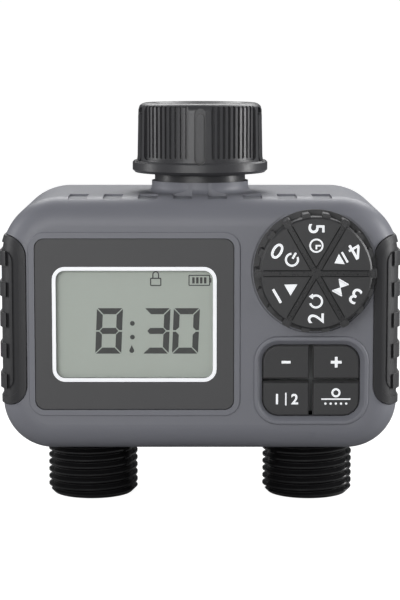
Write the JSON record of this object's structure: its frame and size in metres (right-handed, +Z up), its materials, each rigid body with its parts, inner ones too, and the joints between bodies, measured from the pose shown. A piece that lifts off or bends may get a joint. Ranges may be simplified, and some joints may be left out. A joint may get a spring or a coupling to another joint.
{
  "type": "drip irrigation timer",
  "caption": "Two-outlet hose tap irrigation timer with a swivel inlet nut, display, programme dial, push buttons and pull-out battery tray.",
  "frame": {"origin": "on the inlet axis, at the inner end of the nut's thread, where the tap's end seats", "axes": "+Z up along the inlet axis to the tap, +X to the viewer's right, +Y from the display to the battery tray"},
  "size_m": [0.116, 0.0733, 0.1179],
  "materials": {
    "grey_shell": "satin",
    "black_rubber": "matte",
    "steel": "satin",
    "seal_rubber": "matte",
    "black_nylon": "satin",
    "steel_mesh": "woven",
    "gloss_black": "gloss",
    "magnet": "satin",
    "dark_panel": "satin",
    "clear_window": "gloss",
    "lcd_glass": "satin",
    "white_plastic": "satin",
    "circuit_board": "satin",
    "chip_black": "satin",
    "dial_black": "satin",
    "key_black": "matte",
    "silicone": "matte",
    "spring_steel": "gloss",
    "lead_red": "satin",
    "cell_sleeve": "gloss",
    "copper": "gloss"
  },
  "bodies": {
    "housing": {"front_cover": "grey_shell", "rear_cover": "grey_shell", "left_grip": "black_rubber", "right_grip": "black_rubber", "housing_screws": "steel", "housing_gasket": "seal_rubber", "inlet_washer": "seal_rubber", "inlet_filter": "steel_mesh", "inlet_spigot": "gloss_black", "spigot_o_ring": "seal_rubber", "outlet_o_rings": "seal_rubber", "manifold": "black_nylon", "bonnet_screws": "steel", "latch_magnets": "magnet", "display_bezel": "dark_panel", "display_window": "clear_window", "lcd_panel": "lcd_glass", "lcd_holder": "white_plastic", "main_board": "circuit_board", "board_screws": "steel", "board_chips": "chip_black", "selector_switch": "chip_black", "dial_seal": "seal_rubber", "keypad_mat": "silicone", "contact_pills": "chip_black", "bay_contacts": "spring_steel", "battery_leads": "lead_red", "left_outlet": "gloss_black", "right_outlet": "gloss_black", "left_bonnet": "black_nylon", "right_bonnet": "black_nylon", "left_diaphragm": "seal_rubber", "right_diaphragm": "seal_rubber", "left_diaphragm_spring": "spring_steel", "right_diaphragm_spring": "spring_steel", "left_solenoid_case": "steel", "right_solenoid_case": "steel", "left_coil": "copper", "right_coil": "copper", "left_plunger_spring": "spring_steel", "right_plunger_spring": "spring_steel", "left_solenoid_lead": "lead_red", "right_solenoid_lead": "lead_red"},
    "swivel_nut": {"union_nut": "black_nylon"},
    "dial": {"dial_knob": "dial_black", "selector_shaft": "white_plastic"},
    "minus_button": {"button_minus": "key_black"},
    "plus_button": {"button_plus": "key_black"},
    "zone_button": {"button_zone": "key_black"},
    "ok_button": {"button_ok": "key_black"},
    "tray": {"battery_tray": "grey_shell", "tray_seal": "seal_rubber", "tray_contacts": "spring_steel", "cell_springs": "spring_steel", "left_cell": "cell_sleeve", "right_cell": "cell_sleeve"},
    "left_valve": {"left_valve_disc": "white_plastic"},
    "right_valve": {"right_valve_disc": "white_plastic"},
    "left_pilot": {"left_plunger": "steel"},
    "right_pilot": {"right_plunger": "steel"}
  },
  "joints": [
    {"name": "nut_spin", "type": "hinge", "parent": "housing", "child": "swivel_nut", "pos_m": [0, 0, 0], "axis": [0, 0, 1], "continuous": true},
    {"name": "dial_turn", "type": "hinge", "parent": "housing", "child": "dial", "pos_m": [0.0327, 0, -0.035], "axis": [0, 1, 0], "continuous": true},
    {"name": "minus_press", "type": "slide", "parent": "housing", "child": "minus_button", "axis": [0, 1, 0], "range_m": [0, 0.0008], "stiffness_N_per_m": 800, "springref_m": -0.0005},
    {"name": "plus_press", "type": "slide", "parent": "housing", "child": "plus_button", "axis": [0, 1, 0], "range_m": [0, 0.0008], "stiffness_N_per_m": 800, "springref_m": -0.0005},
    {"name": "zone_press", "type": "slide", "parent": "housing", "child": "zone_button", "axis": [0, 1, 0], "range_m": [0, 0.0008], "stiffness_N_per_m": 800, "springref_m": -0.0005},
    {"name": "ok_press", "type": "slide", "parent": "housing", "child": "ok_button", "axis": [0, 1, 0], "range_m": [0, 0.0008], "stiffness_N_per_m": 800, "springref_m": -0.0005},
    {"name": "tray_pull", "type": "slide", "parent": "housing", "child": "tray", "axis": [0, 1, 0], "range_m": [0, 0.024]},
    {"name": "left_valve_lift", "type": "slide", "parent": "housing", "child": "left_valve", "axis": [0, 1, 0], "range_m": [0, 0.0024], "stiffness_N_per_m": 300, "springref_m": -0.002, "deforming": ["left_diaphragm", "left_diaphragm_spring"]},
    {"name": "left_pilot_pull", "type": "slide", "parent": "housing", "child": "left_pilot", "axis": [0, 1, 0], "range_m": [0, 0.0015], "stiffness_N_per_m": 150, "springref_m": -0.002, "deforming": ["left_plunger_spring"]},
    {"name": "right_valve_lift", "type": "slide", "parent": "housing", "child": "right_valve", "axis": [0, 1, 0], "range_m": [0, 0.0024], "stiffness_N_per_m": 300, "springref_m": -0.002, "deforming": ["right_diaphragm", "right_diaphragm_spring"]},
    {"name": "right_pilot_pull", "type": "slide", "parent": "housing", "child": "right_pilot", "axis": [0, 1, 0], "range_m": [0, 0.0015], "stiffness_N_per_m": 150, "springref_m": -0.002, "deforming": ["right_plunger_spring"]}
  ]
}
